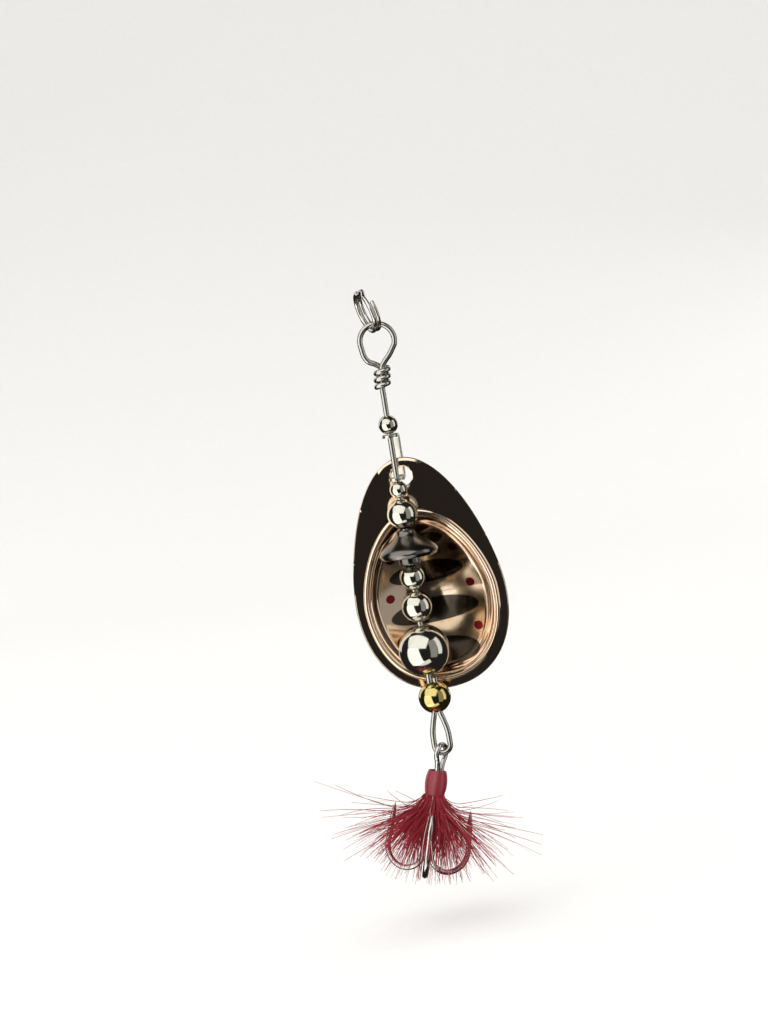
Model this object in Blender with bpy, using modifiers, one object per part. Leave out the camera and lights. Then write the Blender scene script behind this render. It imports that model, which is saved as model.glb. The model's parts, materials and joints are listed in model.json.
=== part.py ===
# Inline spinner: a wire shaft with a split ring, a spinning blade on a folded clevis, a body of
# loose beads and a bell, and a dressed treble hook.
#
# The shaft stands along Z. The origin is the inside top of the wire's upper eye. +Z points up the
# shaft towards the line, and -Y is the side that the hollow of the blade faces.

import math

import bmesh
import bpy
from mathutils import Matrix, Vector

MM = 0.001

# Clearances
SEAT_GAP = 0.05 * MM  # between pieces that rest on each other
BORE_GAP = 0.08 * MM  # around the wire in a bore
RING_LINK_GAP = 0.20 * MM  # between the split ring and the upper eye
HOOK_LINK_GAP = 0.36 * MM  # between the hook's eye and the lower loop

# Wire shaft, one piece of wire from the wraps to the tag
WIRE = 0.75 * MM
EYE_WIDTH = 5.35 * MM  # outside
EYE_SHIFT = 0.30 * MM  # of the eye's middle to the side of its shaft leg
NECK_DEPTH = 5.5 * MM  # from the inside top of the eye down to where the wraps start
NECK_LEAN = math.radians(7.7)  # of the wire inside the wraps
SHAFT_SIDE_ARC = math.radians(20)  # how far below level the eye's round part runs
WRAP_SIDE_ARC = math.radians(10)
WRAP_TURNS = 2.75
WRAP_PITCH = 0.91 * MM
WRAP_START = math.radians(100)
LOOP_WIDTH = 2.87 * MM  # outside
LOOP_DEPTH = 5.8 * MM  # from under the brass bead to the outside bottom
TAG_SHOWN = 0.5 * MM  # the wire's end above the brass bead

# Split ring
RING_OUTER = 6.0 * MM
RING_WIRE = 0.56 * MM
RING_TURN_GAP = 0.06 * MM
RING_CRANK = math.radians(45)
RING_SEAT = math.radians(5)  # where it hangs on the eye, left of the top
RING_LEAN = math.radians(14.6)  # to the left
RING_YAW = math.radians(17)

# Body, from the top down: what turns freely on the shaft
TRAVEL = 3.5 * MM  # the upper bead's free travel below the wraps
UPPER_BEAD = 2.6 * MM
NECK_BEAD = 2.4 * MM
SHOULDER_BEAD = 4.15 * MM
WAIST_BEAD = 3.55 * MM
MIDDLE_BEAD = 4.3 * MM
BIG_BEAD = 6.9 * MM
BIG_BEAD_WALL = 0.6 * MM  # it is hollow
BRASS_BEAD = 4.35 * MM
BIG_BEAD_PLAY = 0.3 * MM  # above the big bead
BRASS_BEAD_PLAY = 0.85 * MM  # above the brass bead

# Bell
BELL_TOP = 2.5 * MM
BELL_BASE = 7.9 * MM
BELL_HEIGHT = 3.6 * MM
BELL_LIP = 0.55 * MM
BELL_LIP_TAPER = 0.2 * MM  # the lip draws in towards its foot by this
BELL_LIP_WALL = 0.45 * MM
BELL_RECESS = 0.9 * MM
BELL_BOSS = 3.1 * MM
BELL_BOSS_OUT = 1.0 * MM  # the boss stands below the lip by this
BELL_BOSS_EDGE = 0.2 * MM

# Folded clevis
CLEVIS_HEIGHT = 6.18 * MM  # over both tabs
CLEVIS_METAL = 0.38 * MM
CLEVIS_TAB = 2.1 * MM
CLEVIS_WEB = 0.9 * MM
CLEVIS_REACH = 2.4 * MM  # from the shaft to the middle of the web
CLEVIS_BEND = 0.55 * MM
CLEVIS_YAW = math.radians(-20)

# Blade
BLADE_LENGTH = 32.3 * MM
BLADE_HALF_WIDTH = 10.2 * MM
BLADE_WIDEST = 19.7 * MM  # from the top
BLADE_METAL = 0.4 * MM
BLADE_HOLE = 2.8 * MM
BLADE_HOLE_EDGE = 1.15 * MM  # metal above the hole
BLADE_TOP_DROP = 3.3 * MM  # from the clevis's upper face to the blade's top
BLADE_TILT = math.radians(7)  # lower end away from the shaft
BLADE_YAW = math.radians(-3)
BLADE_ROLL = math.radians(-4)
RIM = 1.15 * MM  # flat metal between the edge and the ridge, at the sides and bottom
RIM_TOP = 7.3 * MM  # and at the top, where the hole is
RIDGE_WIDTH = 0.6 * MM
RIDGE_HEIGHT = 0.25 * MM
BASIN_WALL = 1.1 * MM  # how wide the steep side of the basin is
BASIN_WALL_TOP = 1.9 * MM  # and at the top
BASIN_WALL_DEPTH = 1.2 * MM
BASIN_DEPTH = 3.4 * MM

# Treble hook: a double hook with the eye, and a single hook brazed beside it
HOOK_WIRE = 0.75 * MM
HOOK_EYE = 3.2 * MM  # outside
HOOK_SHANK = 13.2 * MM  # from the middle of the eye to the start of the bend
HOOK_GAPE = 5.8 * MM  # from the shank to the point's leg, middle to middle
HOOK_POINT = 5.6 * MM  # from the bend up to the tip
HOOK_TAPER = 2.4 * MM
HOOK_LEAN = math.radians(16)  # to the left
HOOK_YAW = math.radians(58)

# Dressing
WHIPPING_TOP = 2.35 * MM  # below the middle of the hook's eye
WHIPPING_LENGTH = 3.4 * MM
WHIPPING_OUTER = 3.0 * MM
TUFT_LENGTH = 11.5 * MM
TUFT_RADIUS = 1.9 * MM
TUFT_SPREAD = math.radians(36)
TUFT_REACH = 1.75 * MM  # from the hook's axis to the tuft's root

ROUND_STEPS = 24
PARTS = "inline_spinner"
CUTTERS = "cutters"


def clear_scene():
    for obj in list(bpy.data.objects):
        bpy.data.objects.remove(obj, do_unlink=True)
    for name in (PARTS, CUTTERS):
        collection = bpy.data.collections.new(name)
        bpy.context.scene.collection.children.link(collection)


def material(name, color, roughness, metallic):
    found = bpy.data.materials.new(name)
    found.use_nodes = True
    shader = found.node_tree.nodes["Principled BSDF"]
    shader.inputs["Base Color"].default_value = (*color, 1.0)
    shader.inputs["Roughness"].default_value = roughness
    shader.inputs["Metallic"].default_value = metallic
    found.diffuse_color = (*color, 1.0)
    return found


def add_object(name, data, frame, finish, collection=PARTS):
    obj = bpy.data.objects.new(name, data)
    obj.matrix_world = frame
    if finish:
        data.materials.append(finish)
    bpy.data.collections[collection].objects.link(obj)
    return obj


def as_cutter(obj):
    obj.hide_render = True
    obj.display_type = "WIRE"
    return obj


def mesh_from(name, build):
    mesh = bpy.data.meshes.new(name)
    bm = bmesh.new()
    build(bm)
    bm.to_mesh(mesh)
    bm.free()
    return mesh


def shade_round(mesh, sharp_above=math.radians(35)):
    mesh.shade_smooth()
    mesh.set_sharp_from_angle(angle=sharp_above)


# A turned piece: a closed outline of (radius, height), which runs down its outer side first.
def turned(name, outline, frame, finish, collection=PARTS):
    def build(bm):
        corners = [bm.verts.new((radius, 0, height)) for radius, height in outline]
        for first, second in zip(corners, corners[1:] + corners[:1]):
            bm.edges.new((first, second))

    mesh = mesh_from(name, build)
    obj = add_object(name, mesh, frame, finish, collection)
    screw = obj.modifiers.new("turn", "SCREW")
    screw.steps = ROUND_STEPS
    screw.render_steps = ROUND_STEPS
    screw.use_merge_vertices = True
    screw.merge_threshold = 1e-7
    screw.use_smooth_shade = True
    return obj


# A piece of round wire along a list of points.
def wire(name, points, diameter, frame, finish, radii=None):
    curve = bpy.data.curves.new(name, "CURVE")
    curve.dimensions = "3D"
    curve.bevel_depth = diameter / 2
    curve.bevel_resolution = 2
    curve.use_fill_caps = True
    spline = curve.splines.new("POLY")
    spline.points.add(len(points) - 1)
    for index, (slot, point) in enumerate(zip(spline.points, points)):
        slot.co = (*point, 1.0)
        slot.radius = radii[index] if radii else 1.0
    spline.use_smooth = True
    return add_object(name, curve, frame, finish)


# Points along a smooth curve through a few points, `steps` to each stretch.
def smooth_line(points, steps):
    points = [Vector(point) for point in points]
    ends = [2 * points[0] - points[1], *points, 2 * points[-1] - points[-2]]
    line = [points[0]]
    for before, start, end, after in zip(ends, ends[1:], ends[2:], ends[3:]):
        for step in range(1, steps + 1):
            t = step / steps
            line.append(
                start
                + (end - before) * (t / 2)
                + (2 * before - 5 * start + 4 * end - after) * (t * t / 2)
                + (3 * start - before - 3 * end + after) * (t**3 / 2)
            )
    return line


def arc(center, radius, start, end, steps):
    angles = [start + (end - start) * step / steps for step in range(steps + 1)]
    return [
        Vector((center.x + radius * math.cos(a), 0, center.z + radius * math.sin(a)))
        for a in angles
    ]


# Heights down the shaft, each piece seated under the one before it.
EYE_RADIUS = (EYE_WIDTH - WIRE) / 2  # to the middle of the wire, as all wire radii
EYE_CENTER = Vector((EYE_SHIFT, 0, WIRE / 2 - EYE_RADIUS))
WRAP_RADIUS = WIRE + SEAT_GAP
WRAP_END_Z = -NECK_DEPTH - WRAP_TURNS * WRAP_PITCH
NECK_FOOT_Z = WRAP_END_Z - WIRE / 2
UPPER_BEAD_Z = WRAP_END_Z - WIRE / 2 - TRAVEL - UPPER_BEAD / 2
CLEVIS_TOP_Z = UPPER_BEAD_Z - UPPER_BEAD / 2 - SEAT_GAP
NECK_BEAD_Z = CLEVIS_TOP_Z - CLEVIS_HEIGHT - SEAT_GAP - NECK_BEAD / 2
SHOULDER_BEAD_Z = NECK_BEAD_Z - NECK_BEAD / 2 - SEAT_GAP - SHOULDER_BEAD / 2
BELL_TOP_Z = SHOULDER_BEAD_Z - SHOULDER_BEAD / 2 - SEAT_GAP
BELL_FOOT_Z = BELL_TOP_Z - BELL_HEIGHT - BELL_BOSS_OUT
WAIST_BEAD_Z = BELL_FOOT_Z - SEAT_GAP - WAIST_BEAD / 2
MIDDLE_BEAD_Z = WAIST_BEAD_Z - WAIST_BEAD / 2 - SEAT_GAP - MIDDLE_BEAD / 2
BIG_BEAD_Z = MIDDLE_BEAD_Z - MIDDLE_BEAD / 2 - BIG_BEAD_PLAY - BIG_BEAD / 2
BRASS_BEAD_Z = BIG_BEAD_Z - BIG_BEAD / 2 - BRASS_BEAD_PLAY - BRASS_BEAD / 2
LEGS_Z = BRASS_BEAD_Z - BRASS_BEAD / 2
TAG_X = WIRE + SEAT_GAP  # the tag stands beside the shaft
TAG_TOP_Z = BRASS_BEAD_Z + BRASS_BEAD / 2 + TAG_SHOWN
LOOP_RADIUS = (LOOP_WIDTH - WIRE) / 2
LOOP_CENTER = Vector((TAG_X / 2, 0, LEGS_Z - LOOP_DEPTH + WIRE / 2 + LOOP_RADIUS))


# How far the neck leans to the side at a height above its foot.
def neck_x(z):
    return max(z - NECK_FOOT_Z, 0) * math.tan(NECK_LEAN)


def wire_shaft(finish):
    eye = arc(EYE_CENTER, EYE_RADIUS, -SHAFT_SIDE_ARC, math.pi + WRAP_SIDE_ARC, 24)
    # The wraps run down behind the neck from the left and come back across its front.
    wraps = []
    steps = round(WRAP_TURNS * 16)
    for step in range(steps + 1):
        turn = step / 16
        angle = WRAP_START - 2 * math.pi * turn
        z = -NECK_DEPTH - WRAP_PITCH * turn
        x = neck_x(z) + WRAP_RADIUS * math.cos(angle)
        wraps.append(Vector((x, WRAP_RADIUS * math.sin(angle), z)))
    right, left = eye[0], eye[-1]
    neck_middle_z = (NECK_FOOT_Z - NECK_DEPTH) / 2
    shaft_leg = smooth_line(
        [
            (0, 0, NECK_FOOT_Z - WIRE),
            (0, 0, NECK_FOOT_Z),
            (neck_x(neck_middle_z), 0, neck_middle_z),
            (neck_x(-NECK_DEPTH), 0, -NECK_DEPTH),
            (EYE_RADIUS * 0.39, 0, -NECK_DEPTH * 0.86),
            (EYE_RADIUS * 0.72, 0, -NECK_DEPTH * 0.71),
            right,
        ],
        4,
    )
    wrap_leg = smooth_line(
        [
            left,
            (-EYE_RADIUS * 0.76, 0, -NECK_DEPTH * 0.67),
            (-EYE_RADIUS * 0.54, EYE_RADIUS * 0.04, -NECK_DEPTH * 0.82),
            (-EYE_RADIUS * 0.20, EYE_RADIUS * 0.22, -NECK_DEPTH * 0.90),
            wraps[0],
        ],
        4,
    )
    # The lower loop: the shaft bulges out, turns under and comes back up as the tag.
    bottom = arc(LOOP_CENTER, LOOP_RADIUS, math.pi, 2 * math.pi, 16)
    length = LEGS_Z - LOOP_CENTER.z
    bulge = LOOP_RADIUS - TAG_X / 2
    loop_in = smooth_line(
        [
            (0, 0, LEGS_Z + WIRE),
            (0, 0, LEGS_Z),
            (-bulge * 0.45, 0, LEGS_Z - length * 0.25),
            (-bulge * 0.93, 0, LEGS_Z - length * 0.6),
            bottom[0],
        ],
        4,
    )
    loop_out = smooth_line(
        [
            bottom[-1],
            (TAG_X + bulge * 0.93, 0, LEGS_Z - length * 0.6),
            (TAG_X + bulge * 0.45, 0, LEGS_Z - length * 0.25),
            (TAG_X, 0, LEGS_Z),
            (TAG_X, 0, LEGS_Z + WIRE),
        ],
        4,
    )
    path = wraps[::-1] + wrap_leg[::-1][1:] + eye[::-1][1:] + shaft_leg[::-1][1:]
    path += loop_in + bottom[1:] + loop_out[1:] + [Vector((TAG_X, 0, TAG_TOP_Z))]
    return wire("wire_shaft", path, WIRE, Matrix(), finish)


# Two turns of wire side by side. The wire steps across from one turn to the other in the crank,
# and its two ends stop short of it.
def split_ring(finish):
    radius = (RING_OUTER - RING_WIRE) / 2
    half_step = (RING_WIRE + RING_TURN_GAP) / 2
    crank_end = 2 * math.pi - math.radians(6)
    crank_start = crank_end - RING_CRANK
    last = 2 * math.pi + crank_start - math.radians(16)
    steps = 64
    points = []
    hinge_to_center = radius - RING_WIRE / 2 - WIRE / 2 - RING_LINK_GAP
    for step in range(steps + 1):
        angle = last * step / steps
        t = min(max((angle - crank_start) / RING_CRANK, 0), 1)
        side = half_step * (2 * (3 * t * t - 2 * t**3) - 1)
        up = hinge_to_center + radius * math.cos(angle)
        points.append(Vector((side, radius * math.sin(angle), up)))
    seat = EYE_CENTER + EYE_RADIUS * Vector((-math.sin(RING_SEAT), 0, math.cos(RING_SEAT)))
    frame = Matrix.Translation(seat)
    frame @= Matrix.Rotation(-RING_LEAN, 4, "Y") @ Matrix.Rotation(RING_YAW, 4, "Z")
    return wire("split_ring", points, RING_WIRE, frame, finish)


# The round outline of a bead from one rim of its bore to the other, top to bottom.
def ball_outline(radius, bore):
    edge = math.acos(bore / 2 / radius)
    steps = 11
    angles = [edge - 2 * edge * step / steps for step in range(steps + 1)]
    return [(radius * math.cos(angle), radius * math.sin(angle)) for angle in angles]


def bead(name, diameter, bore, place, finish, wall=None):
    outline = ball_outline(diameter / 2, bore)
    if wall:
        outline += ball_outline(diameter / 2 - wall, bore)[::-1]
    return turned(name, outline, Matrix.Translation(place), finish)


def bell(finish):
    bore = WIRE / 2 + BORE_GAP
    flare_height = BELL_HEIGHT - BELL_LIP
    top, base = BELL_TOP / 2, BELL_BASE / 2
    outline = [(bore, 0)]
    for step in range(9):
        t = step / 8
        outline.append((top + (base - top) * t * t * (3 - 2 * t), -flare_height * t))
    foot = base - BELL_LIP_TAPER
    outline += [
        (foot, -BELL_HEIGHT),
        (foot - BELL_LIP_WALL, -BELL_HEIGHT),
        (BELL_BOSS / 2, -BELL_HEIGHT + BELL_RECESS),
        (BELL_BOSS / 2, -BELL_HEIGHT - BELL_BOSS_OUT + BELL_BOSS_EDGE),
        (BELL_BOSS / 2 - BELL_BOSS_EDGE, -BELL_HEIGHT - BELL_BOSS_OUT),
        (bore, -BELL_HEIGHT - BELL_BOSS_OUT),
    ]
    return turned("bell", outline, Matrix.Translation((0, 0, BELL_TOP_Z)), finish)


# A strip folded into a C. The tabs have round ends about the shaft and narrow towards the web.
def clevis(finish):
    half_height = (CLEVIS_HEIGHT - CLEVIS_METAL) / 2
    tab = CLEVIS_TAB / 2
    line = []  # (distance from the shaft, height, half width)
    end_steps = 6
    for step in range(end_steps + 1):
        angle = math.pi - (math.pi / 2 + 0.45) * step / end_steps
        half_width = max(tab * math.sin(angle), tab * 0.08)
        line.append((tab * math.cos(angle), half_height, half_width))
    line.append((CLEVIS_REACH - CLEVIS_BEND, half_height, CLEVIS_WEB / 2))
    for step in range(1, 5):
        angle = math.pi / 2 * (1 - step / 4)
        out = CLEVIS_REACH - CLEVIS_BEND + CLEVIS_BEND * math.cos(angle)
        up = half_height - CLEVIS_BEND + CLEVIS_BEND * math.sin(angle)
        line.append((out, up, CLEVIS_WEB / 2))
    line += [(out, -up, half_width) for out, up, half_width in line[::-1]]

    def build(bm):
        rows = [
            [bm.verts.new((side * half_width, out, up)) for side in (-1, 0, 1)]
            for out, up, half_width in line
        ]
        for row, following in zip(rows, rows[1:]):
            for side in range(2):
                bm.faces.new((row[side], following[side], following[side + 1], row[side + 1]))
        bmesh.ops.recalc_face_normals(bm, faces=bm.faces)

    frame = Matrix.Translation((0, 0, CLEVIS_TOP_Z - CLEVIS_HEIGHT / 2))
    frame @= Matrix.Rotation(CLEVIS_YAW, 4, "Z")
    obj = add_object("clevis", mesh_from("clevis", build), frame, finish)
    solid = obj.modifiers.new("metal", "SOLIDIFY")
    solid.thickness = CLEVIS_METAL
    solid.offset = 0
    solid.use_even_offset = True
    drill = round_cutter("clevis_drill", WIRE / 2 + BORE_GAP, CLEVIS_HEIGHT * 2, frame)
    cut(obj, drill)
    shade_round(obj.data)
    return obj


def round_cutter(name, radius, length, frame):
    def build(bm):
        bmesh.ops.create_cone(
            bm,
            cap_ends=True,
            segments=ROUND_STEPS,
            radius1=radius,
            radius2=radius,
            depth=length,
        )

    return as_cutter(add_object(name, mesh_from(name, build), frame, None, CUTTERS))


def cut(obj, cutter):
    boolean = obj.modifiers.new(cutter.name, "BOOLEAN")
    boolean.operation = "DIFFERENCE"
    boolean.object = cutter


# One point of an egg outline: narrow above its widest level, round below it.
def egg_point(angle, top, bottom, widest, half_width):
    above = math.cos(angle) > 0
    reach = widest - top if above else bottom - widest
    down_power, side_power = (1.55, 2.0) if above else (2.2, 2.2)
    down = abs(math.cos(angle)) ** (2 / down_power) * reach
    side = abs(math.sin(angle)) ** (2 / side_power) * half_width
    return (
        math.copysign(side, math.sin(angle)),
        widest - down if above else widest + down,
    )


# The blade's nested outlines from the edge to the middle of its basin: each is an egg with its top,
# bottom, widest level and half width, and how deep the metal lies there.
def blade_rings():
    def inset(margin, top, depth):
        return (top, BLADE_LENGTH - margin, BLADE_WIDEST, BLADE_HALF_WIDTH - margin, depth)

    crest = RIDGE_WIDTH / 2
    foot = RIM + RIDGE_WIDTH + BASIN_WALL
    foot_top = RIM_TOP + RIDGE_WIDTH + BASIN_WALL_TOP
    rings = [
        inset(0, 0, 0),
        inset(RIM / 2, RIM_TOP / 2, 0),
        inset(RIM, RIM_TOP, 0),
        inset(RIM + crest, RIM_TOP + crest, -RIDGE_HEIGHT),
        inset(RIM + RIDGE_WIDTH, RIM_TOP + RIDGE_WIDTH, 0),
        inset(foot, foot_top, BASIN_WALL_DEPTH),
    ]
    top, bottom, center, half_width, _ = rings[-1]
    steps = 5
    for step in range(1, steps):
        shrink = 1 - step / steps
        rings.append(
            (
                center + (top - center) * shrink,
                center + (bottom - center) * shrink,
                center,
                half_width * shrink,
                BASIN_DEPTH - (BASIN_DEPTH - BASIN_WALL_DEPTH) * shrink**2,
            )
        )
    return rings


def blade(finish):
    hinge_down = BLADE_HOLE_EDGE
    around = 48

    def build(bm):
        rows = []
        for top, bottom, widest, half_width, depth in blade_rings():
            row = []
            for step in range(around):
                angle = 2 * math.pi * step / around
                side, down = egg_point(angle, top, bottom, widest, half_width)
                row.append(bm.verts.new((side, depth, hinge_down - down)))
            rows.append(row)
        for row, inner in zip(rows, rows[1:]):
            for step in range(around):
                following = (step + 1) % around
                bm.faces.new((row[step], row[following], inner[following], inner[step]))
        middle = bm.verts.new((0, BASIN_DEPTH, hinge_down - BLADE_WIDEST))
        for step in range(around):
            bm.faces.new((rows[-1][step], rows[-1][(step + 1) % around], middle))
        bmesh.ops.recalc_face_normals(bm, faces=bm.faces)

    web_face = CLEVIS_REACH - CLEVIS_METAL / 2
    skew = CLEVIS_WEB / 2 * math.sin(abs(BLADE_YAW - CLEVIS_YAW))
    out = web_face - skew - BLADE_METAL / 2 - SEAT_GAP
    z = CLEVIS_TOP_Z - BLADE_TOP_DROP - BLADE_HOLE_EDGE
    place = Matrix.Rotation(CLEVIS_YAW, 4, "Z") @ Vector((0, out, z))
    frame = Matrix.Translation(place)
    frame @= Matrix.Rotation(BLADE_YAW, 4, "Z") @ Matrix.Rotation(BLADE_TILT, 4, "X")
    frame @= Matrix.Rotation(BLADE_ROLL, 4, "Y")
    obj = add_object("blade", mesh_from("blade", build), frame, finish)
    solid = obj.modifiers.new("metal", "SOLIDIFY")
    solid.thickness = BLADE_METAL
    solid.offset = 0
    hole = Matrix.Translation((0, 0, -BLADE_HOLE / 2)) @ Matrix.Rotation(math.pi / 2, 4, "X")
    punch = round_cutter("blade_punch", BLADE_HOLE / 2, BLADE_METAL * 8, frame @ hole)
    cut(obj, punch)
    shade_round(obj.data)
    return obj


def hook_turn():
    return Matrix.Rotation(HOOK_LEAN, 4, "Y") @ Matrix.Rotation(HOOK_YAW, 4, "Z")


# The hook's frame: its origin is the top of the hook's eye, inside the loop, and -Z runs down the
# shank. The eye's ring lies in the plane of the double hook's shanks, beside the hook's axis.
def hook_frame():
    drop = LOOP_RADIUS - WIRE / 2 - HOOK_LINK_GAP - HOOK_WIRE / 2
    frame = Matrix.Translation(LOOP_CENTER - Vector((0, 0, drop)))
    return frame @ hook_turn() @ Matrix.Translation((0, SHANK_RADIUS / 2, 0))


HOOK_EYE_RADIUS = (HOOK_EYE - HOOK_WIRE) / 2
HOOK_EYE_Z = -HOOK_EYE_RADIUS
SHANK_RADIUS = (HOOK_WIRE + SEAT_GAP) / math.sqrt(3)  # from the axis to each shank
HOOK_HEADINGS = [math.radians(-30), math.radians(210), math.radians(90)]


# One shank, bend and point, from the top down. The three lie 120 degrees apart.
def hook_leg(heading):
    bend = HOOK_GAPE / 2
    bend_z = HOOK_EYE_Z - HOOK_SHANK
    flat = [(SHANK_RADIUS, HOOK_EYE_Z - HOOK_EYE_RADIUS * 2.1), (SHANK_RADIUS, bend_z)]
    for step in range(1, 15):
        angle = math.pi + math.pi * step / 14
        out = SHANK_RADIUS + bend + bend * math.cos(angle)
        flat.append((out, bend_z + bend * math.sin(angle)))
    tip = flat[-1][0] - HOOK_POINT * 0.07
    for share in (0.3, 1 - HOOK_TAPER / HOOK_POINT, 0.82, 1.0):
        out = flat[15][0] + (tip - flat[15][0]) * share
        flat.append((out, bend_z + HOOK_POINT * share))
    return [Vector((r * math.cos(heading), r * math.sin(heading), z)) for r, z in flat]


def leg_radii(count):
    return [1.0] * (count - 2) + [0.62, 0.12]


# The hook swings about the lower loop's bottom, in the plane of its eye: its hinge is the empty's X.
def hang_on_loop(obj):
    frame = Matrix.Translation(LOOP_CENTER - Vector((0, 0, LOOP_RADIUS)))
    frame @= hook_turn() @ Matrix.Rotation(math.pi / 2, 4, "Z")
    hinge = bpy.data.objects.get("hook_swing")
    if hinge is None:
        hinge = bpy.data.objects.new("hook_swing", None)
        hinge.matrix_world = frame
        bpy.data.collections[PARTS].objects.link(hinge)
    obj.parent = hinge
    obj.matrix_parent_inverse = frame.inverted()


def hooks(finish):
    first, second, third = [hook_leg(heading) for heading in HOOK_HEADINGS]
    # The double hook's two shanks join in the eye.
    y = first[0].y
    ring = arc(
        Vector((0, 0, HOOK_EYE_Z)), HOOK_EYE_RADIUS, math.radians(-50), math.radians(230), 22
    )
    ring = [point + Vector((0, y, 0)) for point in ring]
    path = first[::-1] + ring + second
    radii = leg_radii(len(first))[::-1] + [1.0] * len(ring) + leg_radii(len(second))
    frame = hook_frame()
    hang_on_loop(wire("double_hook", path, HOOK_WIRE, frame, finish, radii))
    hang_on_loop(wire("single_hook", third, HOOK_WIRE, frame, finish, leg_radii(len(third))))


def whipping(finish):
    bore = SHANK_RADIUS + HOOK_WIRE / 2 + SEAT_GAP
    outer = WHIPPING_OUTER / 2
    outline = []
    steps = 8
    for step in range(steps + 1):
        t = step / steps
        crown = math.sin(math.pi * (0.08 + 0.84 * t)) ** 0.5
        outline.append((bore + (outer - bore) * crown, -WHIPPING_LENGTH * t))
    outline = [(bore, 0), *outline, (bore, -WHIPPING_LENGTH)]
    frame = hook_frame() @ Matrix.Translation((0, 0, HOOK_EYE_Z - WHIPPING_TOP))
    hang_on_loop(turned("thread_whipping", outline, frame, finish))


# The hair between two bends, as one plain drop that leans out from the hook's axis.
def tuft(name, heading, finish):
    steps = 10
    outline = []
    for step in range(steps + 1):
        t = 0.06 + 0.88 * step / steps
        outline.append((TUFT_RADIUS * math.sin(math.pi * t**0.8) ** 0.8, -TUFT_LENGTH * t))
    outline = [(TUFT_RADIUS * 0.02, outline[0][1]), *outline]
    outline.append((TUFT_RADIUS * 0.02, outline[-1][1]))
    root = Matrix.Translation((TUFT_REACH, 0, HOOK_EYE_Z - WHIPPING_TOP - WHIPPING_LENGTH))
    frame = hook_frame() @ Matrix.Rotation(heading, 4, "Z") @ root
    frame @= Matrix.Rotation(-TUFT_SPREAD, 4, "Y")
    hang_on_loop(turned(name, outline, frame, finish))


def main():
    clear_scene()
    steel = material("stainless_wire", (0.62, 0.61, 0.58), 0.22, 1.0)
    nickel = material("nickel_plate", (0.60, 0.58, 0.53), 0.12, 1.0)
    black_nickel = material("black_nickel", (0.10, 0.09, 0.085), 0.18, 1.0)
    brass = material("polished_brass", (0.80, 0.58, 0.22), 0.15, 1.0)
    copper = material("copper_plate", (0.90, 0.55, 0.42), 0.12, 1.0)
    thread = material("red_thread", (0.50, 0.02, 0.04), 0.35, 0.0)
    hair = material("red_hair", (0.45, 0.03, 0.05), 0.5, 0.0)

    bore = WIRE + 2 * BORE_GAP
    wire_shaft(steel)
    split_ring(nickel)
    bead("upper_bead", UPPER_BEAD, bore, (0, 0, UPPER_BEAD_Z), nickel)
    clevis(nickel)
    blade(copper)
    bead("neck_bead", NECK_BEAD, bore, (0, 0, NECK_BEAD_Z), nickel)
    bead("shoulder_bead", SHOULDER_BEAD, bore, (0, 0, SHOULDER_BEAD_Z), nickel)
    bell(black_nickel)
    bead("waist_bead", WAIST_BEAD, bore, (0, 0, WAIST_BEAD_Z), nickel)
    bead("middle_bead", MIDDLE_BEAD, bore, (0, 0, MIDDLE_BEAD_Z), nickel)
    bead("big_bead", BIG_BEAD, bore, (0, 0, BIG_BEAD_Z), nickel, BIG_BEAD_WALL)
    # The brass bead holds the shaft and the tag, side by side.
    bead("brass_bead", BRASS_BEAD, bore + TAG_X, (TAG_X / 2, 0, BRASS_BEAD_Z), brass)
    hooks(nickel)
    whipping(thread)
    for number, heading in enumerate(HOOK_HEADINGS, start=1):
        tuft(f"hair_tuft_{number}", heading + math.radians(60), hair)


main()
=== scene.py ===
import json
import math
import random

import bmesh
import bpy
from mathutils import Matrix, Vector


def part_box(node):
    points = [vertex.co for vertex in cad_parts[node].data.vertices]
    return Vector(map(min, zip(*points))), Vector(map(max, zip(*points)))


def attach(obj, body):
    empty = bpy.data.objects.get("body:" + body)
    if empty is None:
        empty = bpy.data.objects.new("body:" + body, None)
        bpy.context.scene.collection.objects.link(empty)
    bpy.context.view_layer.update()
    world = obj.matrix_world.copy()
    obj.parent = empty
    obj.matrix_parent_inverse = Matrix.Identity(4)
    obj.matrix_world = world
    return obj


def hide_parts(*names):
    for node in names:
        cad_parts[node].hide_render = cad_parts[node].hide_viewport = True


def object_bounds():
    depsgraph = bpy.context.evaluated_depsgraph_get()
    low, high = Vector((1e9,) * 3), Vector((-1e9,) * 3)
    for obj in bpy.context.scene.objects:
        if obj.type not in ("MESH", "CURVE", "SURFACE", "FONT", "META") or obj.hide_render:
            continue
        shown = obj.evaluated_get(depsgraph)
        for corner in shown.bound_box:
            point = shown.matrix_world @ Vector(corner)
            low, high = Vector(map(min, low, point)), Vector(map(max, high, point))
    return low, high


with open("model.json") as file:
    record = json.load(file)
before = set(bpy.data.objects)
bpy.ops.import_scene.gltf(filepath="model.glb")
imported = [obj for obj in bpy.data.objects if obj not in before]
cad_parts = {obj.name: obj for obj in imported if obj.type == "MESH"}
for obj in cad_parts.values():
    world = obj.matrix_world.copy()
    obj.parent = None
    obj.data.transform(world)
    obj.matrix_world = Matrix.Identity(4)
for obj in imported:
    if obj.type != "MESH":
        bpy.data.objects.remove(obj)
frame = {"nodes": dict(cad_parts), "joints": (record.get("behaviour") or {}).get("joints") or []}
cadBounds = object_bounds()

print("frame loaded with", len(frame["nodes"]), "parts")

mm = 0.001
jointsByName = {joint["name"]: joint for joint in frame["joints"]}


def boxInMm(node):
    low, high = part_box(node)
    return low / mm, high / mm


# Mesh helpers: every point below is in millimetres

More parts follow.
